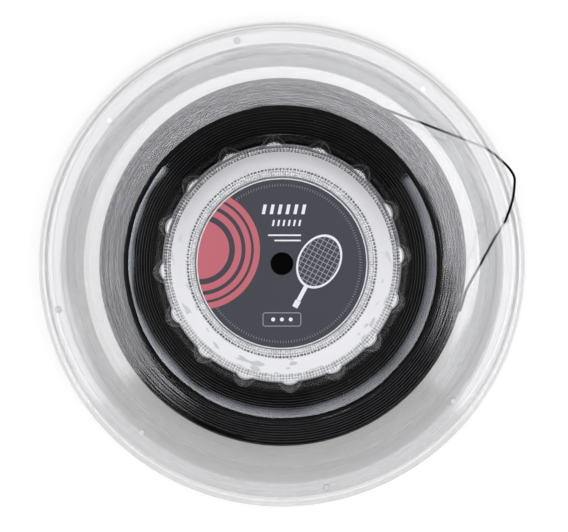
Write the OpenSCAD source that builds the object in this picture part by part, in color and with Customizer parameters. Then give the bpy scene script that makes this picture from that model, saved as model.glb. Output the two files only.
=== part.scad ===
// String reel: two clear formed shells welded back to back, a spindle bush and a disc label
// in the hub, and a length of round string wound in the channel between the flanges.
// The reel's axis is Z. It lies on the bead of its rear rim, and the front faces +Z.

/* [Reel] */
// Diameter over the rim
reel_d = 220; // [204:1:240]
// Thickness of the clear sheet
sheet_t = 0.6; // [0.4:0.05:0.9]
// Inside width of the string channel beside the shoulder
channel_w = 27; // [25:0.5:30]
// How much further the flange leans out by the time it reaches the rim band
flange_lean = 0.9; // [0.4:0.1:2]

/* [Rim] */
// Width of the flat band inside the bead
band_w = 7.7; // [6.5:0.1:9]
// Step from the flange up to the band
band_step = 0.8; // [0.4:0.1:1.5]
// Width of the rolled bead at the edge
bead_w = 4.3; // [3.6:0.1:5.5]
// Height of the bead over the band
bead_rise = 1; // [0.6:0.1:1.8]
// Width of the flat on top of the bead, which the reel lies on
crest_w = 0.8; // [0.4:0.1:1.2]
// How far the edge turns down below the band
lip_drop = 1.2; // [0.6:0.1:1.8]

/* [Hub] */
// Diameter at which the drum wall leaves the welded band
drum_d = 108; // [102:0.5:110]
// Diameter at the foot of the raised hub plate
hub_plate_d = 80.2; // [79.6:0.2:88]
// Height of the hub plate's underside over the weld
hub_rise = 3.4; // [2:0.1:5]
// Slope of the hub plate's edge, measured across
hub_draft = 0.8; // [0.4:0.1:1]

/* [Drum] */
// Diameter at the top of the steep part of the drum wall
steep_d = 116; // [115.6:0.2:122]
// Height of the top of the steep part over the weld
steep_h = 8; // [7:0.1:9]
// Diameter at the foot of the shoulder
shoulder_d = 142.4; // [134:0.4:150]
// Width of the shoulder
shoulder_w = 2; // [1.4:0.1:3]
// Rise of the shoulder
shoulder_rise = 1.3; // [0.6:0.1:2]

/* [Flutes] */
// Number of pointed flutes round the drum
flute_count = 16; // [8:1:20]
// How far a flute stands out from the foot of the drum wall
flute_out = 3.1; // [2:0.1:4]
// Width of a flute at its foot
flute_w = 5.6; // [4:0.2:8]
// Angle of the first flute on the front shell
flute_angle = 3.9; // [0:0.1:10]

/* [Tuck holes] */
// Diameter of a hole that holds the string's end
tuck_d = 3.2; // [2.8:0.1:4]
// Number of tuck holes on each shell
tuck_count = 4; // [2:1:8]
// Distance of the holes' centres from the inner edge of the band
tuck_in = 5; // [3:0.1:5.4]
// Angle of the first hole on the front shell
tuck_angle = 11.3; // [0:0.1:20]
// How far the rear shell is turned against the front one
rear_turn = 62; // [0:1:90]

/* [Spindle bush] */
// Bore that the spindle goes through
spindle_d = 10.4; // [8:0.1:12.8]
// Wall of the bush where it passes the hub plates
bush_wall = 1.2; // [0.8:0.1:2]
// How much wider the collar between the plates is, on each side
bush_collar = 1.6; // [1:0.1:3]
// Gap round the bush in the hub plates
bush_gap = 0.1; // [0.05:0.05:0.3]

/* [Labels] */
// Diameter of the disc label
label_d = 77; // [60:0.5:77.5]
// Thickness of the label
label_t = 0.25; // [0.15:0.05:0.5]
// How much wider the label's hole is than the bore
label_hole_more = 0.2; // [0:0.1:1]

/* [String] */
// Diameter of the string
string_d = 1.18; // [1:0.01:1.35]
// Diameter over the winding
winding_d = 165.6; // [156:0.4:166.4]
// Least gap between neighbouring turns of the outer layer
turn_gap = 0.46; // [0.44:0.02:0.8]
// Gap between the winding and the shells
side_gap = 0.3; // [0.2:0.05:0.5]
// Angle at which the free end leaves the winding
leave_angle = 69.4; // [60:0.1:70]

/* [Hidden] */
$fn = 96;

over = 1;                             // how far a cutting body passes the face that it cuts

// Shell profile, on the side of the sheet that faces the string. Heights are over the weld.
reel_r = reel_d / 2;
bead_r = reel_r - bead_w;             // where the bead starts
band_r = bead_r - band_w;             // where the flat band starts
bush_r = spindle_d / 2 + bush_wall;
plate_hole_r = bush_r + bush_gap;
flange_z = channel_w / 2;
band_root_z = flange_z + flange_lean;
band_z = band_root_z + band_step;
crest_z = band_z + bead_rise;
mid_h = crest_z + sheet_t;            // height of the weld over the floor
ledge_r = shoulder_d / 2 + shoulder_w;  // where the flange starts
crest_in = bead_r + bead_w * 0.36;    // inner edge of the flat on top of the bead
crest_out = crest_in + crest_w;
edge_r = reel_r - sheet_t;
roll_z = band_z - lip_drop / 2;       // where the bead's outer side turns straight down
roll_steps = 4;
channel_side = [
  [plate_hole_r, hub_rise],
  [hub_plate_d / 2 - hub_draft, hub_rise],
  [hub_plate_d / 2, 0],
  [drum_d / 2, 0],
  [steep_d / 2, steep_h],
  [shoulder_d / 2, flange_z - shoulder_rise],
  [ledge_r, flange_z],
  [band_r - band_step, band_root_z],
  [band_r, band_z],
  for (i = [0:roll_steps]) let (u = i / roll_steps)
    [bead_r + (crest_in - bead_r) * u, band_z + bead_rise * (1 - cos(180 * u)) / 2],
  for (i = [0:roll_steps]) let (a = 90 * i / roll_steps)
    [crest_out + (edge_r - crest_out) * sin(a), roll_z + (crest_z - roll_z) * cos(a)],
  [edge_r, band_z - lip_drop],
];
top_z = crest_z + 4;                  // top of the bodies that the sheet is cut from

// Tuck holes and flutes
tuck_r = band_r + tuck_in;
flute_tip_r = drum_d / 2 + flute_out;
flute_grow = norm([flute_out, flute_w / 2]) / (flute_w / 2);  // tip shift for 1 mm of thickness

// Winding
winding_r = winding_d / 2;
string_r = string_d / 2;
layer_r = winding_r - string_r;       // centre line of the outer layer
layer_steps = 24;                     // rings in each turn of the outer layer
layer_sides = 6;
chord_dip = layer_r * (1 - cos(180 / layer_steps));  // how far a straight step dips in
core_gap = 0.05;
core_r = layer_r - string_r - chord_dip - core_gap;
core_foot_r = flute_tip_r + sheet_t * flute_grow + side_gap;
layer_half = lookup(layer_r, channel_side) - side_gap - string_r;
layer_turns = min(24, floor(2 * layer_half / (string_d + turn_gap)));
turn_pitch = 2 * layer_half / layer_turns;

// The free end: round numbers from the reel's axis and the weld, where it leaves the outer
// layer, runs out between the flanges, comes round the rim and over the front bead, dips
// through a tuck hole and runs back behind the flange to rest on the winding.
free_route = [
  [48, 69.7, 12.3], [62, 64.5, 12.3], [76, 59.2, 12.2], [88, 54.5, 12.2], [92, 52.7, 12.2],
  [95.3, 50.6, 12.3], [98.3, 48, 12.5], [100.6, 45.9, 12.9], [102.4, 44, 13.5],
  [103.6, 42.3, 14.5], [104.5, 40.6, 15.6], [104.9, 38.9, 16.7], [104.8, 36.9, 17.6],
  [104.6, 34.8, 18.1], [104.4, 32.6, 18.3], [104.1, 30.5, 18.2], [103.6, 28.4, 18.1],
  [102.9, 26.1, 18], [102.3, 24.2, 17.7], [101.8, 22.7, 17.2], [101.4, 21.4, 16.5],
  [101, 20.2, 15.5], [100.5, 19, 14.5], [99.8, 17.7, 13.8], [98.7, 16, 13.4],
  [97.2, 13.6, 13.2], [87.2, -4.7, 12.7], [84, -10.6, 12.5], [82.9, -13.5, 12.4],
  [82.2, -16.1, 12.3], [81.5, -18.6, 12.2], [80.7, -21.2, 12.1],
];
free_sides = 8;
free_step = 3 * string_d;             // longest stretch between two rings of the free end

// Points of a path moved sideways by d, with mitred corners. Positive d moves to the left.
function unit(v) = v / norm(v);
function left_of(a, b) = let (u = unit(b - a)) [-u[1], u[0]];
function mitre(p, i, d) =
  let (last = len(p) - 1)
  let (n0 = left_of(p[max(i - 1, 0)], p[max(i, 1)]))
  let (n1 = left_of(p[min(i, last - 1)], p[min(i + 1, last)]))
  p[i] + (n0 + n1) * d / (1 + n0 * n1);
function moved(p, d) = [for (i = [0:len(p) - 1]) mitre(p, i, d)];

// A tube of a round string swept along 3-D points, each ring square to the path.
function along(p, i) = unit(p[min(i + 1, len(p) - 1)] - p[max(i - 1, 0)]);
function ring(c, t, r, sides) =
  let (side = unit(cross(t, [0, 0, 1])))
  let (up = cross(side, t))
  [for (k = [0:sides - 1]) let (a = 360 * (k + 0.5) / sides) c + r * (side * cos(a) + up * sin(a))];
module swept(p, r, sides) {
  rings = len(p);
  points = [for (i = [0:rings - 1]) each ring(p[i], along(p, i), r, sides)];
  skin = [
    for (i = [0:rings - 2], k = [0:sides - 1])
      let (a = i * sides, k1 = (k + 1) % sides)
      each [[a + k, a + k1, a + sides + k1], [a + k, a + sides + k1, a + sides + k]]
  ];
  last = (rings - 1) * sides;
  caps = [for (k = [1:sides - 2]) each [[0, k + 1, k], [last, last + k, last + k + 1]]];
  polyhedron(points, concat(skin, caps));
}

// Centre line of the outer layer. It climbs from the rear flange to the front one, clockwise
// as seen from the front, and each end runs straight for one string diameter.
layer_rings = layer_turns * layer_steps;
function layer_point(i) =
  let (a = leave_angle + 360 * (layer_rings - i) / layer_steps)
  [layer_r * cos(a), layer_r * sin(a), turn_pitch * i / layer_steps - layer_half];
leave_dir = [sin(leave_angle), -cos(leave_angle), 0];
layer_line = concat(
  [layer_point(0) - string_d * leave_dir],
  [for (i = [0:layer_rings]) layer_point(i)],
  [layer_point(layer_rings) + string_d * leave_dir]
);
// Least gap between a turn and the next one, measured on the points of the line
layer_gap = min([
  for (i = [0:layer_rings - layer_steps]) norm(layer_point(i) - layer_point(i + layer_steps))
]) - string_d;
echo(turns = layer_turns, least_gap = layer_gap);

// The free end's line, with its long stretches split so that no step is over free_step
free_start = layer_line[len(layer_line) - 1];
free_corners = concat([free_start, free_start + string_d * leave_dir], free_route);
free_line = concat(
  [for (i = [0:len(free_corners) - 2])
    let (a = free_corners[i], b = free_corners[i + 1], n = ceil(norm(b - a) / free_step))
    for (k = [0:n - 1]) a + (b - a) * k / n],
  [free_corners[len(free_corners) - 1]]
);
function length_to(p, i) = i == 0 ? 0 : norm(p[i] - p[i - 1]) + length_to(p, i - 1);
echo(free_end_rings = len(free_line), free_end_length = length_to(free_line, len(free_line) - 1));

module flutes(grow, low) {
  // Pointed prisms that stand out of the foot of the drum wall
  tip = flute_tip_r + grow * flute_grow;
  half = flute_w / 2 * (tip - drum_d / 2 + over) / flute_out;
  for (i = [0:flute_count - 1])
    rotate(flute_angle + 360 * i / flute_count)
      translate([0, 0, low])
        linear_extrude(top_z - low)
          polygon([[drum_d / 2 - over, -half], [tip, 0], [drum_d / 2 - over, half]]);
}

module shell() {
  // The sheet is what is left between the space in front of its string side and the same
  // space in front of its outer side
  front_side = moved(channel_side, sheet_t);
  ends = len(channel_side) - 1;
  cap = unit(front_side[ends] - channel_side[ends]);
  run_on = front_side[ends] + over * unit(front_side[ends] - front_side[ends - 1]);
  difference() {
    union() {
      rotate_extrude()
        polygon(concat(channel_side, [
          channel_side[ends] + (sheet_t + over) * cap,
          [reel_r + over, top_z], [plate_hole_r, top_z],
        ]));
      flutes(sheet_t, 0);
    }
    rotate_extrude()
      polygon(concat([[plate_hole_r - over, front_side[0][1]]], front_side, [
        run_on, [reel_r + 2 * over, run_on[1]],
        [reel_r + 2 * over, top_z + over], [plate_hole_r - over, top_z + over],
      ]));
    flutes(0, sheet_t);
    for (i = [0:tuck_count - 1])
      rotate(tuck_angle + 360 * i / tuck_count)
        translate([tuck_r, 0, band_z - over])
          cylinder(d = tuck_d, h = sheet_t + 2 * over);
  }
}

module front_shell() {
  color([0.86, 0.88, 0.9, 0.35]) translate([0, 0, mid_h]) shell();
}

module rear_shell() {
  color([0.86, 0.88, 0.9, 0.35])
    translate([0, 0, mid_h]) rotate([180, 0, rear_turn]) shell();
}

module spindle_bush() {
  // Spigots pass the hub plates and the collar is held between them
  face = hub_rise + sheet_t;
  color([0.04, 0.04, 0.045])
    translate([0, 0, mid_h])
      rotate_extrude()
        polygon([
          [spindle_d / 2, -face], [bush_r, -face], [bush_r, -hub_rise],
          [bush_r + bush_collar, -hub_rise], [bush_r + bush_collar, hub_rise],
          [bush_r, hub_rise], [bush_r, face], [spindle_d / 2, face],
        ]);
}

module label() {
  rotate_extrude()
    translate([(spindle_d + label_hole_more) / 2, hub_rise + sheet_t])
      square([(label_d - spindle_d - label_hole_more) / 2, label_t]);
}

module front_label() {
  color([0.23, 0.23, 0.27]) translate([0, 0, mid_h]) label();
}

module rear_label() {
  color([0.23, 0.23, 0.27]) translate([0, 0, mid_h]) rotate([180, 0, 0]) label();
}

module string_core() {
  // Everything below the outer layer, as one plain body that follows the channel. Its foot
  // clears the flutes.
  inner = moved(channel_side, -side_gap);
  half = [
    [core_foot_r, lookup(core_foot_r, inner)],
    for (p = inner) if (p[0] > core_foot_r && p[0] < core_r) p,
    [core_r, lookup(core_r, inner)],
  ];
  color([0.03, 0.03, 0.035])
    translate([0, 0, mid_h])
      rotate_extrude()
        polygon(concat(half, [for (i = [len(half) - 1:-1:0]) [half[i][0], -half[i][1]]]));
}

module string_outer_layer() {
  color([0.03, 0.03, 0.035]) translate([0, 0, mid_h]) swept(layer_line, string_r, layer_sides);
}

module string_free_end() {
  color([0.03, 0.03, 0.035]) translate([0, 0, mid_h]) swept(free_line, string_r, free_sides);
}

front_shell();
rear_shell();
spindle_bush();
front_label();
rear_label();
string_core();
string_outer_layer();
string_free_end();
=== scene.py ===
import math
import random

import bmesh
import bpy
import numpy as np
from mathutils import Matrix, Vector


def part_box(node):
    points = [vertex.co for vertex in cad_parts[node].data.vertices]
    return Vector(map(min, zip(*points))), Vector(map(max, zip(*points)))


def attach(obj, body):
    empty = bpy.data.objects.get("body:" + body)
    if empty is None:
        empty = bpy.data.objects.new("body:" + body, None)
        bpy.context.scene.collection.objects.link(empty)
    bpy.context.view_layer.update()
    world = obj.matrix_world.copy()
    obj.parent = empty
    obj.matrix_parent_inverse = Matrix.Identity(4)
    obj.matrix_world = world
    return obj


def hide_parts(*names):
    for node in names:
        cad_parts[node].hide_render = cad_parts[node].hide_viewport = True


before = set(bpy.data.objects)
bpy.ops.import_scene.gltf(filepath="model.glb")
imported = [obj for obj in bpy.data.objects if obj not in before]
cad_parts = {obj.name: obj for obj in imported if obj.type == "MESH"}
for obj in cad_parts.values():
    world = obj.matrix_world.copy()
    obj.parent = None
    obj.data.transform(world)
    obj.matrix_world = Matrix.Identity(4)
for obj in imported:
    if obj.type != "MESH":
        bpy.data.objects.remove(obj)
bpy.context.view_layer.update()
print("frame loaded")

mm = 0.001
shellLow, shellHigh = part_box("rear_shell")[0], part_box("front_shell")[1]
reelRadius = shellHigh.x / mm                     # over the rim, in mm
midHeight = (shellLow.z + shellHigh.z) / 2        # the welded plane, in metres


# The camera: nearly straight down on the front, leaning a little towards +Y
cameraView = {
    "imageWidth": 568, "rimWidth": 487.4,         # the frame and the rim's diameter in it, in pixels
    "distance": 1.2, "tilt": 3.2,                 # metres to the front rim, degrees towards +Y
    "aim": (0.95 * mm, -0.35 * mm), "sensor": 36,
}


def placeCamera(look):
    seenWidth = 2 * shellHigh.x * look["imageWidth"] / look["rimWidth"]
    data = bpy.data.cameras.new("camera")
    data.sensor_width = look["sensor"]
    data.lens = look["sensor"] * look["distance"] / seenWidth
    data.clip_end = 20
    camera = bpy.data.objects.new("camera", data)
    tilt = math.radians(look["tilt"])
    camera.location = (look["aim"][0], look["aim"][1] + look["distance"] * math.sin(tilt),
                       shellHigh.z + look["distance"] * math.cos(tilt))
    camera.rotation_euler = (-tilt, 0, 0)
    bpy.context.collection.objects.link(camera)
    bpy.context.scene.camera = camera


placeCamera(cameraView)
print("camera placed")


# Meshes
def addPiece(name, points, faces, smooth=True):
    mesh = bpy.data.meshes.new(name)
    mesh.from_pydata([tuple(p) for p in points], [], [tuple(f) for f in faces])
    mesh.update()
    if smooth:
        mesh.polygons.foreach_set("use_smooth", [True] * len(mesh.polygons))
    piece = bpy.data.objects.new(name, mesh)
    bpy.context.collection.objects.link(piece)
    return piece


def tubeAlong(line, radius, sides):
    # Rings round a line of points, each square to it, with a flat end at both ends
    line = np.asarray(line, float)
    ahead = np.vstack([line[1] - line[0], line[2:] - line[:-2], line[-1] - line[-2]])
    ahead /= np.linalg.norm(ahead, axis=1)[:, None]
    side = np.cross(ahead, [0, 0, 1.0])
    side /= np.linalg.norm(side, axis=1)[:, None]
    up = np.cross(side, ahead)
    points = []
    for k in range(sides):
        a = 2 * math.pi * k / sides
        points.append(line + radius * (math.cos(a) * side + math.sin(a) * up))
    points = np.stack(points, axis=1).reshape(-1, 3)
    faces = []
    for i in range(len(line) - 1):
        for k in range(sides):
            n = (k + 1) % sides
            faces.append((i * sides + k, i * sides + n, (i + 1) * sides + n, (i + 1) * sides + k))
    last = (len(line) - 1) * sides
    faces.append(tuple(range(sides - 1, -1, -1)))
    faces.append(tuple(last + k for k in range(sides)))
    return points, faces


# The cord: the free end of the string
freeEnd = {
    "diameter": 1.18, "sides": 12, "step": 1.2,   # in mm, as everything below
    # Where the outer layer ends: its direction in degrees, its radius and its height over the weld
    "leaveAngle": 69.4, "layerRadius": 82.21, "layerHalf": 12.948,
    "route": [
        (48, 69.7, 12.3), (62, 64.5, 12.3), (76, 59.2, 12.2), (88, 54.5, 12.2), (92, 52.7, 12.2),
        (95.3, 50.6, 12.3), (98.3, 48, 12.5), (100.6, 45.9, 12.9), (102.4, 44, 13.5), (103.6, 42.3, 14.5),
        (104.5, 40.6, 15.6), (104.9, 38.9, 16.7), (104.8, 36.9, 17.6), (104.6, 34.8, 18.1),
        (104.4, 32.6, 18.3), (104.1, 30.5, 18.2), (103.6, 28.4, 18.1), (102.9, 26.1, 18),
        (102.3, 24.2, 17.7), (101.8, 22.7, 17.2), (101.4, 21.4, 16.5), (101, 20.2, 15.5), (100.5, 19, 14.5),
        (99.8, 17.7, 13.8), (98.7, 16, 13.4), (97.2, 13.6, 13.2), (87.2, -4.7, 12.7), (84, -10.6, 12.5),
        (82.9, -13.5, 12.4), (82.2, -16.1, 12.3), (81.5, -18.6, 12.2), (80.7, -21.2, 12.1),
    ],
}


def smoothLine(points, step):
    # A curve through every point, in short steps
    points = np.asarray(points, float)
    ends = np.vstack([2 * points[0] - points[1], points, 2 * points[-1] - points[-2]])
    out = []
    for i in range(1, len(ends) - 2):
        p0, p1, p2, p3 = ends[i - 1:i + 3]
        spans = [np.linalg.norm(b - a) ** 0.5 for a, b in ((p0, p1), (p1, p2), (p2, p3))]
        t0, t1, t2, t3 = 0, *np.cumsum(spans)
        parts = max(1, round(np.linalg.norm(p2 - p1) / step))
        for t in np.linspace(t1, t2, parts, endpoint=False):
            a1 = (t1 - t) / (t1 - t0) * p0 + (t - t0) / (t1 - t0) * p1
            a2 = (t2 - t) / (t2 - t1) * p1 + (t - t1) / (t2 - t1) * p2
            a3 = (t3 - t) / (t3 - t2) * p2 + (t - t2) / (t3 - t2) * p3
            b1 = (t2 - t) / (t2 - t0) * a1 + (t - t0) / (t2 - t0) * a2
            b2 = (t3 - t) / (t3 - t1) * a2 + (t - t1) / (t3 - t1) * a3
            out.append((t2 - t) / (t2 - t1) * b1 + (t - t1) / (t2 - t1) * b2)
    out.append(points[-1])
    return np.array(out)


def lay(points):
    # Millimetres over the weld to the frame's metres
    return np.asarray(points, float) * mm + np.array([0, 0, midHeight])


def makeFreeEnd(cord):
    a = math.radians(cord["leaveAngle"])
    leaving = np.array([math.sin(a), -math.cos(a), 0])
    outward = np.array([math.cos(a), math.sin(a), 0])
    layerEnd = cord["layerRadius"] * outward + np.array([0, 0, cord["layerHalf"]])
    start = layerEnd + cord["diameter"] * leaving
    line = smoothLine([start, start + cord["diameter"] * leaving] + cord["route"], cord["step"])
    points, faces = tubeAlong(lay(line), cord["diameter"] / 2 * mm, cord["sides"])
    piece = addPiece("free_string_end", points, faces)
    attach(piece, "root")
    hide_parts("string_free_end")
    tuple(lay([start])[0])
    [tuple(p) for p in lay(line)]
    return piece


freeEndPiece = makeFreeEnd(freeEnd)


# The two formed shells
sheet = {
    "thickness": 0.6, "segments": 640, "rearTurn": 62, "sharpOver": 50,
    "hubHole": 6.5, "plateEdge": 38.95, "plateFoot": 39.6, "plateRise": 3.4, "plateFillet": 0.35,
    "weldMiddle": 46.8, "drumFoot": 54.0, "drumSlope": 63.4, "drumFillet": 0.8, "steepTop": 57.4,
    "wallFrom": 57,
    # How steeply the wall, the shoulder and the flange climb, in degrees, at some radii
    "slopes": [(57.4, 63.4), (58.9, 22.5), (70.1, 12.3), (70.45, 62), (70.94, 62), (71.5, 2.4), (86, 1.5),
               (89.3, 2.2), (89.7, 4.0), (96, 4.05), (99.1, 3.9), (99.3, 38), (99.7, 38), (99.9, 0)],
    "slopeStep": 0.5, "flangeFrom": 86,
    # The shoulder isn't quite round: size in mm, waves round the reel and direction in degrees
    "shoulderWave": [(0.35, 1, -5), (0.1, 5, 40), (0.12, 9, 130), (0.08, 17, 200)],
    "waveFrom": (66, 69.5), "waveTo": (72, 75),
    "bandHeight": 15.2, "bandEnd": 105.7, "beadRise": 1.0, "crest": (107.25, 108.05), "lipDrop": 1.2,
    "fluteCount": 16, "fluteAngle": 3.9, "fluteOut": 1.9, "fluteWidth": 8.4, "fluteHeight": 8.6,
    "fluteFrom": (50.8, 53.0), "fluteTo": (58.0, 60.0),
    "tuckAngle": 11.3, "tuckRadius": 103.0, "tuckHole": 1.35, "tuckCount": 4, "tuckCells": 2,
}


def roundedPath(corners, fillet, step):
    # A path through the corners with each inner corner turned into an arc
    path = [np.array(corners[0], float)]
    for before, corner, after in zip(corners, corners[1:], corners[2:]):
        before, corner, after = (np.array(p, float) for p in (before, corner, after))
        u = (before - corner) / np.linalg.norm(before - corner)
        v = (after - corner) / np.linalg.norm(after - corner)
        half = math.acos(np.clip(u @ v, -1, 1)) / 2
        reach = fillet / math.tan(half)
        a, b = corner + reach * u, corner + reach * v
        for t in np.linspace(0, 1, 7):
            path.append((1 - t) ** 2 * a + 2 * t * (1 - t) * corner + t ** 2 * b)
    path.append(np.array(corners[-1], float))
    out = [path[0]]
    for a, b in zip(path, path[1:]):
        parts = max(1, math.ceil(np.linalg.norm(b - a) / step))
        out += [a + (b - a) * k / parts for k in range(1, parts + 1)]
    return out


def climbWall(form, steepZ):
    # The wall, shoulder and flange, from the slopes. The flange takes up what the climb leaves over
    radii = [r for r, slope in form["slopes"]]
    angles = [slope for r, slope in form["slopes"]]
    steps = []
    for a, b in zip(radii, radii[1:]):
        parts = max(2, math.ceil((b - a) / form["slopeStep"]))
        steps += list(np.linspace(a, b, parts, endpoint=False))
    steps.append(radii[-1])
    z = [steepZ]
    for a, b in zip(steps, steps[1:]):
        fine = np.linspace(a, b, 9)
        z.append(z[-1] + (b - a) * np.tan(np.radians(np.interp(fine, radii, angles))).mean())
    leftOver = form["bandHeight"] - z[-1]
    z = np.array(z) + np.interp(steps, [form["flangeFrom"], radii[-1]], [0, leftOver])
    print(f"wall climbed, {leftOver:.3f} mm left over")
    return list(zip(steps, z))[1:]


def shellProfile(form):
    # The sheet's string side, from the spindle hole to the end of the lip, in mm over the weld
    steepZ = (form["steepTop"] - form["drumFoot"]) * math.tan(math.radians(form["drumSlope"]))
    hub = roundedPath([(form["hubHole"], form["plateRise"]), (form["plateEdge"], form["plateRise"]),
                       (form["plateFoot"], 0), (form["weldMiddle"], 0)], form["plateFillet"], 3.0)
    drum = roundedPath([(form["weldMiddle"], 0), (form["drumFoot"], 0), (form["steepTop"], steepZ)],
                       form["drumFillet"], 0.6)
    path = hub + drum[1:]
    path += climbWall(form, steepZ)
    path += [(form["tuckRadius"] + step, form["bandHeight"]) for step in (-2, -1, 0, 1, 2)]
    inner, outer = form["crest"]
    edge = reelRadius - form["thickness"]
    for u in np.linspace(0, 1, 9):
        path.append((form["bandEnd"] + (inner - form["bandEnd"]) * u,
                     form["bandHeight"] + form["beadRise"] * (1 - math.cos(math.pi * u)) / 2))
    roll = form["bandHeight"] - form["lipDrop"] / 2
    for a in np.linspace(0, math.pi / 2, 9):
        path.append((outer + (edge - outer) * math.sin(a),
                     roll + (form["bandHeight"] + form["beadRise"] - roll) * math.cos(a)))
    path.append((edge, form["bandHeight"] - form["lipDrop"]))
    return np.array(path, float)


profile = shellProfile(sheet)
print(len(profile), "rings in the sheet's profile")


def wallHeight(radius):
    outside = profile[profile[:, 0] > sheet["wallFrom"]]
    return np.interp(radius, outside[:, 0], outside[:, 1])


def fluted(form, radius, height, angle):
    # The radius of the wall with its flutes: half cones that stand against it. angle is the shell's own
    every = 2 * math.pi / form["fluteCount"]
    off = (angle - math.radians(form["fluteAngle"]) + every / 2) % every - every / 2
    across = abs(off) * form["drumFoot"] / (form["fluteWidth"] / 2)
    out = form["fluteOut"] * np.clip(1 - height / form["fluteHeight"], 0, 1)
    push = out * np.clip(1 - across ** 2, 0, 1)
    return radius + push * np.interp(radius, form["fluteFrom"] + form["fluteTo"], [0, 1, 1, 0])


def shellGrid(form):
    # Points of the string side as rings by segments, with the flutes and the tuck holes' rims
    pitch = 2 * math.pi / form["segments"]
    shift = math.radians(form["tuckAngle"]) % pitch
    angle = shift + pitch * np.arange(form["segments"])
    angle = np.repeat(angle[None, :], len(profile), 0)
    height = np.repeat(profile[:, 1][:, None], form["segments"], 1)
    radius = fluted(form, np.repeat(profile[:, 0][:, None], form["segments"], 1), height, angle)
    wave = sum(size * np.cos(count * angle - math.radians(phase))
               for size, count, phase in form["shoulderWave"])
    radius = radius + wave * np.interp(radius, form["waveFrom"] + form["waveTo"], [0, 1, 1, 0])
    middle = int(np.argmin(abs(profile[:, 0] - form["tuckRadius"])))
    perQuarter = form["segments"] // form["tuckCount"]
    first = round((math.radians(form["tuckAngle"]) - shift) / pitch)
    cells = form["tuckCells"]
    opened = np.zeros((len(profile) - 1, form["segments"]), bool)
    for k in range(form["tuckCount"]):
        column = first + k * perQuarter
        for i in range(-cells, cells + 1):
            for j in range(-cells, cells + 1):
                if max(abs(i), abs(j)) < cells:
                    continue
                ring, seg = middle + i, (column + j) % form["segments"]
                along = math.atan2(i, j)
                turn = form["tuckHole"] * math.cos(along) / form["tuckRadius"]
                radius[ring, seg] = form["tuckRadius"] + form["tuckHole"] * math.sin(along)
                angle[ring, seg] = angle[0, column % form["segments"]] + turn
        for i in range(-cells, cells):
            for j in range(-cells, cells):
                opened[middle + i, (column + j) % form["segments"]] = True
    return np.stack([radius * np.cos(angle), radius * np.sin(angle), height], axis=2), opened


def closeSheet(grid, opened, thickness):
    # The other side of the sheet, and the faces that close it at its edges and holes
    along = np.empty_like(grid)
    along[1:-1] = grid[2:] - grid[:-2]
    along[0], along[-1] = grid[1] - grid[0], grid[-1] - grid[-2]
    around = np.roll(grid, -1, 1) - np.roll(grid, 1, 1)
    normal = np.cross(along, around)
    normal /= np.linalg.norm(normal, axis=2)[..., None]
    rings, segments = grid.shape[:2]
    points = np.concatenate([grid.reshape(-1, 3), (grid + thickness * normal).reshape(-1, 3)])
    top = rings * segments
    faces = []
    for i in range(rings - 1):
        for j in range(segments):
            if opened[i, j]:
                continue
            n = (j + 1) % segments
            a, b = i * segments + j, i * segments + n
            d, c = a + segments, b + segments
            faces.append((a, b, c, d))
            faces.append((top + d, top + c, top + b, top + a))
            if i == 0 or opened[i - 1, j]:
                faces.append((b, a, top + a, top + b))
            if i == rings - 2 or opened[i + 1, j]:
                faces.append((d, c, top + c, top + d))
            if opened[i, j - 1]:
                faces.append((a, d, top + d, top + a))
            if opened[i, n]:
                faces.append((c, b, top + b, top + c))
    return points, faces


def turnOver(points, degrees):
    # Flipped about X, then turned about the reel's axis
    a = math.radians(degrees)
    flipped = points * np.array([1, -1, -1])
    return np.stack([flipped[:, 0] * math.cos(a) - flipped[:, 1] * math.sin(a),
                     flipped[:, 0] * math.sin(a) + flipped[:, 1] * math.cos(a), flipped[:, 2]], axis=1)


def makeShells(form):
    grid, opened = shellGrid(form)
    points, faces = closeSheet(grid, opened, form["thickness"])
    used = {i for face in faces for i in face}
    loose = [i for i in range(len(points)) if i not in used]
    turned = turnOver(points, form["rearTurn"])
    shells = []
    for name, placed in (("front_clear_shell", points), ("rear_clear_shell", turned)):
        piece = addPiece(name, lay(placed), faces)
        removeLoose(piece, loose)
        piece.data.set_sharp_from_angle(angle=math.radians(form["sharpOver"]))
        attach(piece, "root")
        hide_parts(name.replace("clear_", ""))
        shells.append(piece)
    return shells


def removeLoose(piece, loose):
    # The points that the tuck holes leave without a face
    work = bmesh.new()
    work.from_mesh(piece.data)
    work.verts.ensure_lookup_table()
    bmesh.ops.delete(work, geom=[work.verts[i] for i in loose], context="VERTS")
    work.to_mesh(piece.data)
    work.free()


shells = makeShells(sheet)
print("shells formed")


# The facets that stand on the weld
knurl = {
    "height": 0.22, "sunk": 0.03, "side": 0.66,     # mm
    "turnDrift": 0.0006, "radiusDrift": 0.05,       # radians and mm
    "bands": [(40.4, 5, 320), (51.4, 3, 408)],      # first row's radius, rows, facets in a row
    "rowStep": 0.78,
}


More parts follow.
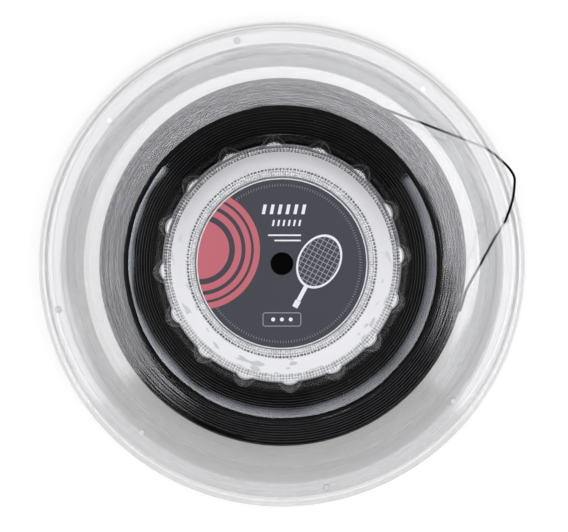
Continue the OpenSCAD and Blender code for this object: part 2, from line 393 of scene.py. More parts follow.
def makeKnurl(form):
    random.seed(7)
    points, faces = [], []
    rows = []
    for start, number, count in form["bands"]:
        rows += [(start + form["rowStep"] * i, count) for i in range(number)]
    for row, (radius, count) in enumerate(rows):
        for k in range(count):
            a = 2 * math.pi * (k + 0.5 * (row % 2)) / count
            a += random.uniform(-form["turnDrift"], form["turnDrift"])
            half = form["side"] / 2 * random.uniform(0.85, 1.1)
            tall = form["height"] * random.uniform(0.6, 1.15)
            out = np.array([math.cos(a), math.sin(a), 0])
            along = np.array([-math.sin(a), math.cos(a), 0])
            drift = random.uniform(-form["radiusDrift"], form["radiusDrift"])
            foot = out * (radius + drift) + np.array([0, 0, sheet["thickness"] - form["sunk"]])
            base = len(points)
            corners = ((-1, -1), (1, -1), (1, 1), (-1, 1))
            points += [foot + half * (out * i + along * j) for i, j in corners]
            points.append(foot + np.array([0, 0, tall + form["sunk"]]))
            faces.append((base + 3, base + 2, base + 1, base))
            faces += [(base + i, base + (i + 1) % 4, base + 4) for i in range(4)]
    points = np.array(points)
    for name, placed in (("front_weld_knurl", points), ("rear_weld_knurl", turnOver(points, 0))):
        piece = addPiece(name, lay(placed), faces, smooth=False)
        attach(piece, "root")
        yield piece


knurls = list(makeKnurl(knurl))
print("weld rings knurled")


# The winding
winding = {
    "diameter": 1.18, "sides": 8, "perTurn": 96, "innerTurn": 59.3, "pitch": 1.2, "layerPitch": 1.23,
    "clear": 0.08, "wander": 0.07, "layerWander": 0.05,
    "frontFrom": 1.9, "rearFrom": 0.4,            # where the innermost turns start, in radians
    # The dark body under the turns: its radius, its gap round the drum, and how deep it lies at some radii
    "fillRadius": 81.4, "fillGap": 0.35, "fillSegments": 480,
    "fillDeep": ((54, 57.4, 59.5), (0.15, 0.4, 0.885)), "fillLeast": 0.08,
    # How far the wound body lies off the axis and which way, and how much fuller it is than its last turns
    "offCentre": 1.5, "offTowards": 64, "offFrom": 62, "offFull": 80, "fuller": 0.35,
}


def offCentre(radius, angle):
    # The outer turns lie off the axis, the inner ones sit on the drum
    share = np.interp(radius, [winding["offFrom"], winding["offFull"]], [0, 1])
    towards = np.cos(angle - math.radians(winding["offTowards"]))
    return share * (winding["fuller"] + winding["offCentre"] * towards)


def wander(amount, seed):
    # A slow irregular drift along the string, as hand and machine leave it
    random.seed(seed)
    waves = [(random.uniform(0.3, 5.3), random.uniform(0, 6.28)) for k in range(9)]

    def drift(turn):
        return amount * sum(math.sin(f * turn * 6.28 + p) for f, p in waves) / 4
    return drift


def spiral(form, start, end, fromAngle, side, seed):
    # Turns that lie against one shell's wall, from one radius to another, and the last one's angle.
    # side is 1 at the front and -1 at the rear
    turns = abs(end - start) / form["pitch"]
    drift = wander(form["wander"], seed)
    near = 0.3                                    # mm, either side of a turn, for the wall's slope
    line = []
    for i in range(int(turns * form["perTurn"]) + 1):
        turn = i / form["perTurn"]
        a = fromAngle - 2 * math.pi * turn
        radius = start + (end - start) * turn / turns + drift(turn)
        radius += offCentre(radius, a)
        slope = (wallHeight(radius + near) - wallHeight(radius - near)) / (2 * near)
        drop = (form["diameter"] / 2) * math.sqrt(1 + slope ** 2) + form["clear"]
        line.append((radius * math.cos(a), radius * math.sin(a), side * (wallHeight(radius) - drop)))
    return line, a


def outerHelix(form, cord, fromAngle):
    # The outer layer, from the rear flange to where the free end leaves it
    half, radius = cord["layerHalf"], cord["layerRadius"]
    endAngle = math.radians(cord["leaveAngle"])
    wanted = 2 * half / form["layerPitch"]
    partTurn = ((fromAngle - endAngle) / (2 * math.pi)) % 1
    turns = round(wanted - partTurn) + partTurn
    drift = wander(form["layerWander"], 5)
    count = int(turns * form["perTurn"])
    line = []
    for i in range(1, count + 1):
        part = i / count
        a = fromAngle - 2 * math.pi * turns * part
        fade = min(1, 6 * (1 - part))
        out = radius + (drift(turns * part) + offCentre(radius, a)) * fade
        line.append((out * math.cos(a), out * math.sin(a), -half + 2 * half * part))
    leaving = np.array([math.sin(endAngle), -math.cos(endAngle), 0])
    line.append(tuple(np.array(line[-1]) + cord["diameter"] * leaving))
    return line


def makeWinding(form):
    outer = freeEnd["layerRadius"]
    front, _ = spiral(form, form["innerTurn"], outer - 0.5 * form["diameter"], form["frontFrom"], 1, 3)
    rear, rearEnd = spiral(form, form["innerTurn"], outer, form["rearFrom"], -1, 4)
    helix = outerHelix(form, freeEnd, rearEnd)
    pieces = []
    for name, line, node in (("front_string_turns", front, "string_core"),
                             ("outer_string_turns", rear + helix, "string_outer_layer")):
        points, faces = tubeAlong(lay(line), form["diameter"] / 2 * mm, form["sides"])
        piece = addPiece(name, points, faces)
        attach(piece, "root")
        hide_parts(node)
        pieces.append(piece)
    return pieces


def makeInnerTurns(form):
    # The string below the turns that show, as one dark body that lies close round the fluted drum
    outside = profile[(profile[:, 0] >= sheet["drumFoot"] - 0.1) & (profile[:, 0] < form["fillRadius"])]
    outside = np.vstack([outside, [form["fillRadius"], wallHeight(form["fillRadius"])]])
    segments = form["fillSegments"]
    angle = 2 * math.pi * np.arange(segments) / segments
    rings = []
    for side in (1, -1):
        half = []
        for radius, height in outside:
            own = angle if side > 0 else math.radians(sheet["rearTurn"]) - angle
            deep = np.interp(radius, *form["fillDeep"])
            gap = np.interp(radius, form["fillDeep"][0][1:], [form["fillGap"], 0])
            around = fluted(sheet, np.full(segments, radius), height, own) + gap + offCentre(radius, angle)
            level = np.full(segments, side * max(height - deep, form["fillLeast"]))
            half.append(np.stack([around * np.cos(angle), around * np.sin(angle), level], axis=1))
        rings += half[::side]
    points = np.concatenate(rings)
    faces = []
    for i in range(len(rings)):
        n = (i + 1) % len(rings)
        for k in range(segments):
            m = (k + 1) % segments
            faces.append((i * segments + k, n * segments + k, n * segments + m, i * segments + m))
    piece = addPiece("inner_string_turns", lay(points), faces)
    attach(piece, "root")
    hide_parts("string_core")
    return piece


windingPieces = makeWinding(winding) + [makeInnerTurns(winding)]
print("string wound")


# Shader tools
class Wire:
    # A socket that does arithmetic: each operator adds a Math node
    def __init__(self, graph, socket):
        self.graph = graph
        self.socket = socket

    def math(self, operation, *others):
        return self.graph.math(operation, self, *others)

    def __add__(self, other):
        return self.math("ADD", other)

    def __sub__(self, other):
        return self.math("SUBTRACT", other)

    def __rsub__(self, other):
        return self.graph.math("SUBTRACT", other, self)

    def __mul__(self, other):
        return self.math("MULTIPLY", other)

    def __truediv__(self, other):
        return self.math("DIVIDE", other)

    def __rtruediv__(self, other):
        return self.graph.math("DIVIDE", other, self)

    def __pow__(self, other):
        return self.math("POWER", other)

    __radd__ = __add__
    __rmul__ = __mul__


class Graph:
    # The nodes of a material or of the world
    def __init__(self, owner, output="ShaderNodeOutputMaterial"):
        self.owner = owner
        self.output = output
        owner.use_nodes = True
        self.tree = owner.node_tree
        self.tree.nodes.clear()

    def node(self, kind, settings=None, sockets=None, out=0):
        made = self.tree.nodes.new(kind)
        for key, setting in (settings or {}).items():
            if key == "stops":
                fillRamp(made.color_ramp, setting)
            else:
                setattr(made, key, setting)
        for key, given in (sockets or {}).items():
            if isinstance(given, Wire):
                self.tree.links.new(given.socket, made.inputs[key])
            else:
                made.inputs[key].default_value = given
        return Wire(self, made.outputs[out]) if len(made.outputs) else made

    def math(self, operation, *values):
        return self.node("ShaderNodeMath", {"operation": operation}, dict(enumerate(values)))

    def surface(self, shader):
        self.node(self.output, {}, {"Surface": shader})
        return self.owner


def newMaterial(name):
    return Graph(bpy.data.materials.new(name))


def fillRamp(ramp, stops):
    while len(ramp.elements) < len(stops):
        ramp.elements.new(1)
    for element, (position, colour) in zip(ramp.elements, stops):
        element.position = position
        element.color = colour


class Spot:
    # Where the shaded point lies on the reel, in mm and degrees
    def __init__(self, graph):
        self.graph = graph
        at = graph.node("ShaderNodeTexCoord", {}, {}, "Object")
        split = [graph.node("ShaderNodeSeparateXYZ", {}, {0: at}, k) for k in range(3)]
        self.x, self.y, self.z = (metres * (1 / mm) for metres in split)
        self.point = graph.node("ShaderNodeCombineXYZ", {}, {0: self.x, 1: self.y, 2: self.z})
        self.radius = (self.x * self.x + self.y * self.y) ** 0.5
        self.degrees = self.y.math("ARCTAN2", self.x) * (180 / math.pi)
        self.side = self.y / self.radius                               # 1 towards +Y, -1 towards -Y
        self.level = (self.z - midHeight / mm).math("ABSOLUTE")        # from the welded plane
        self.front = rise(self.z - midHeight / mm, -0.01, 0.01)        # 1 on the front shell

    def towards(self, degrees):
        # 1 in that direction from the axis, and -1 in the opposite one
        a = math.radians(degrees)
        return (self.x * math.cos(a) + self.y * math.sin(a)) / self.radius

    def alongShell(self, first, count):
        # Mm along the circle from the nearest of the features that repeat round each shell
        own = self.front * (self.degrees - first)
        own = own + (1 - self.front) * (sheet["rearTurn"] - first - self.degrees)
        half = 180 / count
        return own.math("WRAP", half, -half) * self.radius * (math.pi / 180)


def rise(x, low, high):
    # 0 below low and 1 above high, smooth in between
    return x.graph.node("ShaderNodeMapRange", {"interpolation_type": "SMOOTHSTEP"},
                        {"Value": x, "From Min": low, "From Max": high})


def between(x, low, high, soft):
    return rise(x, low - soft, low + soft) * (1 - rise(x, high - soft, high + soft))


def repeated(x, start, pitch):
    # How far x is from the nearest of the places that repeat from start
    cells = 100                                         # enough to make every x positive
    return ((x - start + (cells + 0.5) * pitch).math("MODULO", pitch) - pitch / 2).math("ABSOLUTE")


def noise(vector, scale, detail=2, rough=0.5):
    return vector.graph.node("ShaderNodeTexNoise", {}, {
        "Vector": vector, "Scale": scale, "Detail": detail, "Roughness": rough})


def roundNoise(spot, radius, long, wide, detail=1, rough=0.5):
    # Noise that runs round the axis without a seam. long is a feature's length round the reel, at
    # the middle radius, and wide is its width across it, in mm
    middleRadius = 70
    turn = middleRadius / long
    return noise(spot.graph.node("ShaderNodeCombineXYZ", {}, {
        0: spot.x / radius * turn, 1: spot.y / radius * turn, 2: radius / wide}), 1.0, detail, rough)


def bumpFrom(height, strength, distance):
    # distance is in metres
    return height.graph.node("ShaderNodeBump", {}, {
        "Strength": strength, "Distance": distance, "Height": height})


def blendColour(mask, low, high):
    return mask.graph.node("ShaderNodeMix", {"data_type": "RGBA"}, {"Factor": mask, 6: low, 7: high}, 2)


def grey(level):
    return (level, level, level, 1)


# The knurled rings of the weld, on the sheet and on the facets that stand on it. Radii in mm
weld = {
    "inner": (39.95, 43.8), "outer": (50.9, 54.0), "outerGrows": 0.45,
    "cell": 0.8, "diamonds": 120, "pitch": 1.25,        # facets, and diamonds round and across
    "cellShare": 0.42, "diamondShare": 0.4, "innerPaintedLight": 0.15,
    "dotPitch": 1.65, "dotSizes": (0.62, 0.6), "dotDrift": 1.1,
    # Painted shade: on the +Y side the outer ring is darker, and its edge darker still, with light teeth
    # across it
    "highFrom": (47, 48), "highPaintedShade": 0.34,
    "edgeShadeFrom": (52.3, 53.0), "pressed": 1.1, "teeth": 0.85, "teethPerDegree": 0.62,
    # The painted light and shade of the knurl: its lit colour and its shaded colour
    "light": (0.99, 0.99, 1.0, 1), "dark": (0.1, 0.1, 0.11, 1),
    "facetShare": 0.75, "facetTint": (0.97, 0.97, 0.98, 1),
}


def dotRow(spot, degrees, radius, pitch, size):
    # A row of dots at one radius, with some drift. pitch and size are in mm
    count = round(2 * math.pi * radius / pitch)
    along = ((degrees * (count / 360) + count).math("FRACT") - 0.5) * pitch
    drift = noise(spot.graph.node("ShaderNodeCombineXYZ", {}, {0: degrees * 1.3, 1: radius}), 1.0, 1) - 0.5
    away = (along ** 2 + (spot.radius - radius - drift * weld["dotDrift"]) ** 2) ** 0.5
    return 1 - rise(away, size * 0.55, size)


def weldFacets(look, spot):
    # Irregular facets over a lattice of diamonds, painted as light and shade
    facet = spot.graph.node("ShaderNodeTexVoronoi", {"feature": "F1"}, {
        "Vector": spot.point, "Scale": 1 / look["cell"]}, 1)
    facet = spot.graph.node("ShaderNodeSeparateXYZ", {}, {0: facet}, 0)
    turn = spot.degrees * (look["diamonds"] * math.pi / 180)
    across = spot.radius * (math.pi / look["pitch"])
    lattice = (turn + across).math("COSINE") * (turn - across).math("COSINE")
    return 0.5 + look["cellShare"] * facet + look["diamondShare"] * lattice


def weldLightAndShade(look, spot):
    # Painted light and shade over the knurl's own pattern: 1 on the lit facets of the knurled weld and 0 in
    # its shaded pits
    r = spot.radius
    inner, outer = look["inner"], look["outer"]
    patches = roundNoise(spot, r, 11, 30)
    high = rise(spot.side, -0.75, 0.85)
    firstSize, secondSize = look["dotSizes"]
    first = dotRow(spot, spot.degrees, inner[1] - 0.7, look["dotPitch"], firstSize)
    second = dotRow(spot, spot.degrees + 0.7, outer[0] + 0.2, look["dotPitch"], secondSize)
    # Painted shade: the outer ring's row of pits and its inner edge grow darker towards +Y
    pits = first * (0.2 + patches) + second * (0.1 + 0.9 * high)
    pits = pits + between(r, outer[0] - 0.1, outer[0] + 0.35, 0.12) * high * 0.4
    away = ((spot.degrees * look["teethPerDegree"] + 200).math("FRACT") - 0.5).math("ABSOLUTE")
    teeth = rise(away, 0.26, 0.36) * (0.4 + patches)
    # Painted shade along the outer edge towards +Y, broken by light teeth
    deep = high * rise(r, *look["edgeShadeFrom"]) * (look["pressed"] - look["teeth"] * teeth)
    # Painted light along the inner ring's inside edge, against the shade of the label plate's side
    edge = look["innerPaintedLight"] * (1 - rise(r, inner[0] + 0.3, inner[0] + 1.5))
    darker = high * rise(r, *look["highFrom"]) * look["highPaintedShade"]
    return weldFacets(look, spot) + edge - pits - darker - deep


def weldMask(look, spot):
    # The two knurled rings. The outer one is wider on the -Y side
    r = spot.radius
    inner, outer = look["inner"], look["outer"]
    outerEdge = outer[1] + look["outerGrows"] * rise(spot.side, 0.2, -0.8)
    rings = between(r, *inner, 0.1)
    rings = rings + rise(r, outer[0] - 0.1, outer[0] + 0.1) * (1 - rise(r - outerEdge, -0.1, 0.1))
    return rings * (1 - rise(spot.level, 1.5, 2.0))


# The clear sheet. Radii in mm
clearSheet = {
    "reflection": 0.056, "roughness": 0.06, "tint": (0.932, 0.932, 0.93, 1), "waves": 0.06,
    # Its colours where it is dull: plain, in shade, and in the blots of the weld. The weld's middle is
    # shaded from -Y to +Y, and once more at its outer side near +Y
    "hazeColour": (0.97, 0.965, 0.975, 1), "shadeColour": (0.36, 0.36, 0.38, 1),
    "blotColour": (0.66, 0.66, 0.69, 1), "shadeAcross": 0.42, "shadeOutside": 0.38,
    # How dull it is, as shares: everywhere, on the weld, round the holes and at the label plate's edge
    "haze": 0.0005, "milky": 0.9, "knurled": 0.88, "holeRim": 0.35, "plateEdge": 0.75,
    "plateEdgeAt": (37.9, 39.1), "holeRimHalf": 0.2,
    # The flutes: a white floor, partly the milky weld and partly painted light, and grey glassy humps with
    # a painted highlight on their outline and middle and along their foot. The painted light fades towards
    # +Y
    "fluteFloor": 0.8, "fluteFloorAt": (53.9, 56.2), "fluteWallAt": (54.6, 58.8),
    "humpTop": 58.9, "humpHigh": 4.4, "humpHalf": 5.9, "humpBody": 0.015, "humpOutline": 0.12,
    "humpMiddle": 0.1, "footLine": 0.3, "footLineAt": (54.35, 54.6),
    # The hazy band outside the winding, clearer on the front, and the shaded rim
    "bandHaze": 0.4, "bandFirst": (89.3, 89.9), "bandSecond": (94.8, 97.2), "bandLast": (106.2, 106.8),
    "firstShare": 0.35, "frontClear": 0.95, "frontDull": 0.45, "frontDullAt": (98.5, 100.5),
    "rimShade": 0.13, "rimDark": 0.43, "rimAt": (107.3, 107.9),
    # Painted reflection: grey lines that follow the turns where the string touches the sheet, in place of
    # the streaked light mirrored there
    "paintedStreaks": 0.34, "streaksAt": (73.4, 82.3), "streakReflectionColour": (0.2, 0.2, 0.215, 1),
    "streaksUnlit": 285,                                 # degrees, where the overhead light isn't mirrored and they hardly show
    # What it mirrors less over the outer turns, and the painted shade on the shoulder's step
    "veilAt": (71.8, 82.3), "veilDuller": 0.13, "shoulderEdge": (70.0, 71.9), "shoulderShade": 0.92,
}


def streakReflections(look, spot):
    # Painted reflection: lines that follow the turns of the wound body, with streaks between them, left out
    # where the overhead light isn't mirrored
    r = spot.radius
    turnRadius = r - winding["fuller"] - spot.towards(winding["offTowards"]) * winding["offCentre"]
    drift = roundNoise(spot, r, 40, 9)
    turnLines = ((turnRadius / winding["pitch"] + drift * 1.5) * (2 * math.pi)).math("COSINE")
    streaks = roundNoise(spot, turnRadius, 60, 0.8, 2, 0.6) + turnLines * 0.07
    shown = 1 - rise(spot.towards(look["streaksUnlit"]), 0.3, 0.75)
    return between(r, *look["streaksAt"], 0.5) * rise(streaks, 0.44, 0.6) * shown


def fluteWall(look, spot):
    # The drum's wall, where the flutes stand
    return between(spot.radius, *look["fluteWallAt"], 0.15) * rise(spot.level, 0.7, 1.0)


def fluteHaze(look, spot, high):
    # How dull the flutes and the floor between them are, with painted light that fades towards +Y. high is
    # 1 towards +Y
    r, level = spot.radius, spot.level
    across = spot.alongShell(sheet["fluteAngle"], sheet["fluteCount"]).math("ABSOLUTE")
    floor = between(r, *look["fluteFloorAt"], 0.1) * (1 - rise(level, 0.65, 0.75)) * (1 - 0.93 * high)
    half = look["humpHalf"] * ((look["humpTop"] - r).math("MAXIMUM", 0.0) / look["humpHigh"]) ** 0.6
    inHump = across / (half + 0.01)
    fleck = noise(spot.point, 1.5)
    body = look["humpBody"] * (1 - rise(inHump, 0.85, 1.0))
    outline = look["humpOutline"] * fleck * between(inHump, 0.8, 1.0, 0.06)
    middle = look["humpMiddle"] * fleck * (1 - rise(across, 0.2, 0.6))
    hump = fluteWall(look, spot) * (body + outline + middle) * (1 - 0.5 * high)
    foot = between(r, *look["footLineAt"], 0.1) * rise(level, 0.4, 0.6) * (1 - 0.7 * high)
    return floor * look["fluteFloor"] + hump + foot * look["footLine"]


def bandHaze(look, spot):
    # The flange grows dull in two steps. The front one is nearly clear inside its outer edge
    r = spot.radius
    first = look["firstShare"]
    band = rise(r, *look["bandFirst"]) * first + rise(r, *look["bandSecond"]) * (1 - first)
    band = band * (1 - rise(r, *look["bandLast"]))
    clearer = spot.front * (look["frontClear"] - look["frontDull"] * rise(r, *look["frontDullAt"]))
    return band * look["bandHaze"] * (1 - clearer)


def clearSheetMaterial(look):
    g = newMaterial("clear_formed_sheet")
    spot = Spot(g)
    r, side = spot.radius, spot.side
    high = rise(side, 0.1, 0.9)
    paintedStreaks = streakReflections(look, spot)
    # The welded band: milky in the middle, with soft-edged blots, and knurled at both edges
    knurled = weldMask(weld, spot)
    milky = between(r, weld["inner"][1], weld["outer"][0], 0.2) * (1 - rise(spot.level, 0.8, 1.0))
    blots = rise(roundNoise(spot, r, 12, 3.2, 1, 0.45), 0.61, 0.68)
    plateEdge = between(r, *look["plateEdgeAt"], 0.1)
    fromHole = spot.alongShell(sheet["tuckAngle"], sheet["tuckCount"])
    fromHole = (fromHole ** 2 + (r - sheet["tuckRadius"]) ** 2) ** 0.5
    fromRim = fromHole - sheet["tuckHole"]
    holeRim = between(fromRim, -look["holeRimHalf"], look["holeRimHalf"], 0.08)
    rim = rise(r, *look["rimAt"]) * (1 - high)
    # The colour of what is dull
    outward = rise(r, weld["inner"][1] + 0.5, weld["outer"][0])
    shade = rise(side, -0.9, 1.0) * look["shadeAcross"] + high * outward * look["shadeOutside"]
    shade = shade * milky
    colour = blendColour(shade, look["hazeColour"], look["shadeColour"])
    colour = blendColour(blots * milky * (1 - shade), colour, look["blotColour"])
    colour = blendColour(holeRim.math("MAXIMUM", rim * look["rimDark"]), colour, look["shadeColour"])
    colour = blendColour(paintedStreaks, colour, look["streakReflectionColour"])
    colour = blendColour(knurled, colour, blendColour(weldLightAndShade(weld, spot), weld["dark"], weld["light"]))
    # How much is dull and how much is glassy
    haze = look["haze"] + rim * look["rimShade"] + milky * look["milky"] + knurled * look["knurled"]
    haze = haze + fluteHaze(look, spot, high) + plateEdge * look["plateEdge"] + bandHaze(look, spot)
    haze = haze + holeRim * look["holeRim"] + paintedStreaks * look["paintedStreaks"]
    # Slow waves left by forming bend the reflections a little
    bump = bumpFrom(roundNoise(spot, r, 26, 14), look["waves"], 1 * mm)
    facing = g.node("ShaderNodeLayerWeight", {}, {"Blend": 0.5, "Normal": bump}, "Facing")
    mirror = look["reflection"] + (1 - look["reflection"]) * facing ** 5
    mirror = mirror * (1 - between(r, *look["veilAt"], 0.5) * look["veilDuller"])
    mirror = mirror * (1 - fluteWall(look, spot) * (0.7 + 0.28 * high))
    through = g.node("ShaderNodeBsdfTransparent", {}, {"Color": look["tint"]})
    gloss = g.node("ShaderNodeBsdfGlossy", {}, {"Roughness": look["roughness"], "Normal": bump})
    glassy = g.node("ShaderNodeMixShader", {}, {0: mirror, 1: through, 2: gloss})
    dull = g.node("ShaderNodeBsdfPrincipled", {}, {"Base Color": colour, "Roughness": 0.35, "Normal": bump})
    formed = g.node("ShaderNodeMixShader", {}, {0: haze, 1: glassy, 2: dull})
    # The shoulder's step: painted shade, a near-black coat where the sheet is seen nearly edge on and shows
    # only the black string
    shoulder = r - sheet["shoulderWave"][0][0] * spot.x / r
    step = between(shoulder, *look["shoulderEdge"], 0.15) * look["shoulderShade"]
    dark = g.node("ShaderNodeBsdfPrincipled", {}, {
        "Base Color": grey(0.008), "Roughness": 0.5, "Specular IOR Level": 0.04})
    return g.surface(g.node("ShaderNodeMixShader", {}, {0: step, 1: formed, 2: dark}))


def knurlMaterial(look):
    g = newMaterial("pressed_weld")
    colour = blendColour(weldLightAndShade(look, Spot(g)), look["dark"], look["light"])
    through = g.node("ShaderNodeBsdfTransparent", {}, {"Color": look["facetTint"]})
    dull = g.node("ShaderNodeBsdfPrincipled", {}, {"Base Color": colour, "Roughness": 0.2})
    return g.surface(g.node("ShaderNodeMixShader", {}, {0: look["facetShare"], 1: through, 2: dull}))


blackString = {
    "dark": (0.0008, 0.0008, 0.001, 1), "pale": (0.0028, 0.0028, 0.0033, 1),
    # The painted highlight on the crowns of the turns, and the radii in mm where it fades in and out
    "crownHighlight": (0.09, 0.09, 0.1, 1), "highlightFrom": (56, 68), "highlightTo": (82.5, 84),      # radii in mm
    "roughness": 0.2, "specular": 0.12,
}


def stringMaterial(look):
    g = newMaterial("black_coated_string")
    spot = Spot(g)
    mottle = noise(spot.point, 0.35, 3)
    bump = bumpFrom(noise(spot.point, 4.0, 1), 0.05, 0.1 * mm)
    colour = blendColour(mottle, look["dark"], look["pale"])
    # Painted highlight: lighter along the crown of each turn where it faces up, between two radii, and less
    # towards +Y
    facing = g.node("ShaderNodeSeparateXYZ", {}, {0: g.node("ShaderNodeNewGeometry", {}, {}, "Normal")}, 2)
    crown = rise(facing.math("ABSOLUTE"), 0.95, 0.995)
    crown = crown * rise(spot.radius, *look["highlightFrom"]) * (1 - rise(spot.radius, *look["highlightTo"]))
    crown = crown * (1 - 0.5 * rise(spot.side, 0.2, 0.9)) * (0.5 + mottle)
    colour = blendColour(crown, colour, look["crownHighlight"])
    return g.surface(g.node("ShaderNodeBsdfPrincipled", {}, {
        "Base Color": colour, "Roughness": look["roughness"] + 0.1 * mottle,
        "Specular IOR Level": look["specular"], "Normal": bump}))


blackBush = {"dark": (0.006, 0.006, 0.007, 1), "pale": (0.016, 0.015, 0.016, 1), "roughness": 0.38}


def bushMaterial(look):
    g = newMaterial("black_moulded_bush")
    grain = noise(Spot(g).point, 3.0)
    colour = blendColour(grain, look["dark"], look["pale"])
    return g.surface(g.node("ShaderNodeBsdfPrincipled", {}, {
        "Base Color": colour, "Roughness": look["roughness"] + 0.2 * grain,
        "Normal": bumpFrom(grain, 0.2, 0.05 * mm)}))


# The printed labels. Places are from the reel's axis and sizes in mm
labelPrint = {
    "paper": (0.055, 0.055, 0.07), "coral": (0.57, 0.148, 0.178, 1), "white": (0.86, 0.86, 0.88, 1),
    "pale": (0.36, 0.37, 0.4, 1), "fibreLight": 1.12, "roughness": 0.42, "soft": 0.07, "lineSoft": 0.06,
    # A coral disc that the label's edge cuts: middle and radius, and its rings counted from its edge
    "disc": (-37.5, 6.5, 27.5), "discRings": [(-4.0, -2.8), (-8.4, -6.6), (-14, -11.4)],
    # A racket: the head's middle and lean in degrees, its half sizes, and its rim as shares of them
    "racket": (17, 1, 62), "head": (12.5, 9.3), "rim": (0.95, 1.04),
    "meshStart": 0.65, "meshPitch": 2.2, "meshLine": 0.3,
    # Bars as middle and size: the handle's, along the racket, and two plain ones
    "handle": [(-16.6, 0, 7.2, 1.9), (-22, 0, 3.4, 2.6)],
    "bars": [(1.2, 13.0, 15, 0.7), (2.6, 10.6, 12, 0.7)],
    # Leaning rows as middle and size, with the first block's middle, their pitch and their width
    "rows": [((1.6, 24.8, 21, 4.4), (-8.04, 3.6, 1.5)), ((2.2, 18.6, 14, 2.8), (-3.88, 2.4, 0.9))],
    "lean": 0.2,
    # A plate with rounded corners: its height on the label, half sizes, line, and its three dots
    "plateUp": -25.5, "plateHalf": (7.6, 2.0), "plateLine": (0.85, 1.2),
    "dotPitch": 4, "dotRadius": 0.9, "dotsEnd": 6.6,
    # Ticks as inner and outer radius, number, share of the pitch and softness
    "frontTicks": (35.3, 36.4, 180, 0.16, 0.03), "rearTicks": (34.2, 36.2, 60, 0.2, 0.02),
    "tickShare": 0.8, "rearRing": (26, 31),
}


def inked(distance):
    # A printed shape, from the distance to its edge
    return 1 - rise(distance, -labelPrint["soft"], labelPrint["soft"])


def inkedLine(distance, low, high):
    return between(distance, low, high, labelPrint["lineSoft"])


def bar(x, y, cx, cy, long, wide, lean=0.0):
    along = (x - cx - (y - cy) * lean).math("ABSOLUTE") - long / 2
    return inked(along.math("MAXIMUM", (y - cy).math("ABSOLUTE") - wide / 2))


def fromCircle(x, y, cx, cy, radius):
    return ((x - cx) ** 2 + (y - cy) ** 2) ** 0.5 - radius


def tickRing(spot, low, high, count, share, soft):
    along = (spot.degrees * (count / 360) + count).math("FRACT")
    return inkedLine(spot.radius, low, high) * between(along, 0.5 - share / 2, 0.5 + share / 2, soft)


def racketPrint(look, spot):
    # The racket's strings, and its rim with the handle
    cx, cy, lean = look["racket"]
    a = math.radians(lean)
    x, y = spot.x - cx, spot.y - cy
    u, v = x * math.cos(a) + y * math.sin(a), y * math.cos(a) - x * math.sin(a)
    long, wide = look["head"]
    head = ((u / long) ** 2 + (v / wide) ** 2) ** 0.5
    mesh = [inkedLine(repeated(along, look["meshStart"], look["meshPitch"]), -1, look["meshLine"] / 2)
            for along in (u, v)]
    strings = between(head, -1, look["rim"][0], 0.01) * mesh[0].math("MAXIMUM", mesh[1])
    handle = sum(bar(u, v, *part) for part in look["handle"])
    return strings, between(head, *look["rim"], 0.01).math("MAXIMUM", handle)


def rowsPrint(look, spot):
    # Two rows of leaning blocks and two plain bars, where a title would stand
    rows = sum(bar(spot.x, spot.y, *part) for part in look["bars"])
    for row, (start, pitch, wide) in look["rows"]:
        leaning = spot.x - (spot.y - row[1]) * look["lean"]
        blocks = inked(repeated(leaning, start, pitch) - wide / 2)
        rows = rows + bar(spot.x, spot.y, *row, look["lean"]) * blocks
    return rows


def platePrint(look, spot):
    # The rounded plate's line, and the dots in it
    across, up = spot.x.math("ABSOLUTE"), (spot.y - look["plateUp"]).math("ABSOLUTE")
    long, wide = look["plateHalf"]
    corner = ((across - long).math("MAXIMUM", 0.0) ** 2 + (up - wide).math("MAXIMUM", 0.0) ** 2) ** 0.5
    dots = inked(fromCircle(repeated(spot.x, 0, look["dotPitch"]), up, 0, 0, look["dotRadius"]))
    return inkedLine(corner, *look["plateLine"]), dots * inked(across - look["dotsEnd"])


def paperColour(look, fibre):
    light = [c * look["fibreLight"] for c in look["paper"]]
    return blendColour(fibre, (*look["paper"], 1), (*light, 1))


def printedPaper(look, g, colour, fibre):
    return g.surface(g.node("ShaderNodeBsdfPrincipled", {}, {
        "Base Color": colour, "Roughness": look["roughness"] + 0.1 * fibre, "Specular IOR Level": 0.15,
        "Normal": bumpFrom(fibre, 0.08, 0.05 * mm)}))


def frontLabelMaterial(look):
    g = newMaterial("front_label_print")
    spot = Spot(g)
    fibre = noise(spot.point, 1.6, 4, 0.6)
    edge = fromCircle(spot.x, spot.y, *look["disc"])
    disc = inked(edge)
    rings = sum(inkedLine(edge, low, high) for low, high in look["discRings"])
    strings, racket = racketPrint(look, spot)
    plate, dots = platePrint(look, spot)
    ticks = tickRing(spot, *look["frontTicks"]) * look["tickShare"] * (1 - disc)
    pale = strings + ticks + plate
    white = racket + rowsPrint(look, spot) + dots
    colour = blendColour(disc * (1 - rings), paperColour(look, fibre), look["coral"])
    colour = blendColour(pale.math("MINIMUM", 1.0), colour, look["pale"])
    colour = blendColour(white.math("MINIMUM", 1.0), colour, look["white"])
    return printedPaper(look, g, colour, fibre)


def rearLabelMaterial(look):
    g = newMaterial("rear_label_print")
    spot = Spot(g)
    fibre = noise(spot.point, 1.6, 4, 0.6)
    colour = blendColour(inkedLine(spot.radius, *look["rearRing"]), paperColour(look, fibre), look["coral"])
    colour = blendColour(tickRing(spot, *look["rearTicks"]), colour, look["pale"])
    return printedPaper(look, g, colour, fibre)


def dress(piece, material):
    piece.data.materials.clear()
    piece.data.materials.append(material)


def dressAll(pieces, material):
    for piece in pieces:
        dress(piece, material)


dressAll(shells, clearSheetMaterial(clearSheet))
dressAll(knurls, knurlMaterial(weld))
dressAll(windingPieces + [freeEndPiece], stringMaterial(blackString))
dress(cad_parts["spindle_bush"], bushMaterial(blackBush))
dress(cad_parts["front_label"], frontLabelMaterial(labelPrint))
dress(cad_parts["rear_label"], rearLabelMaterial(labelPrint))
print("materials made")


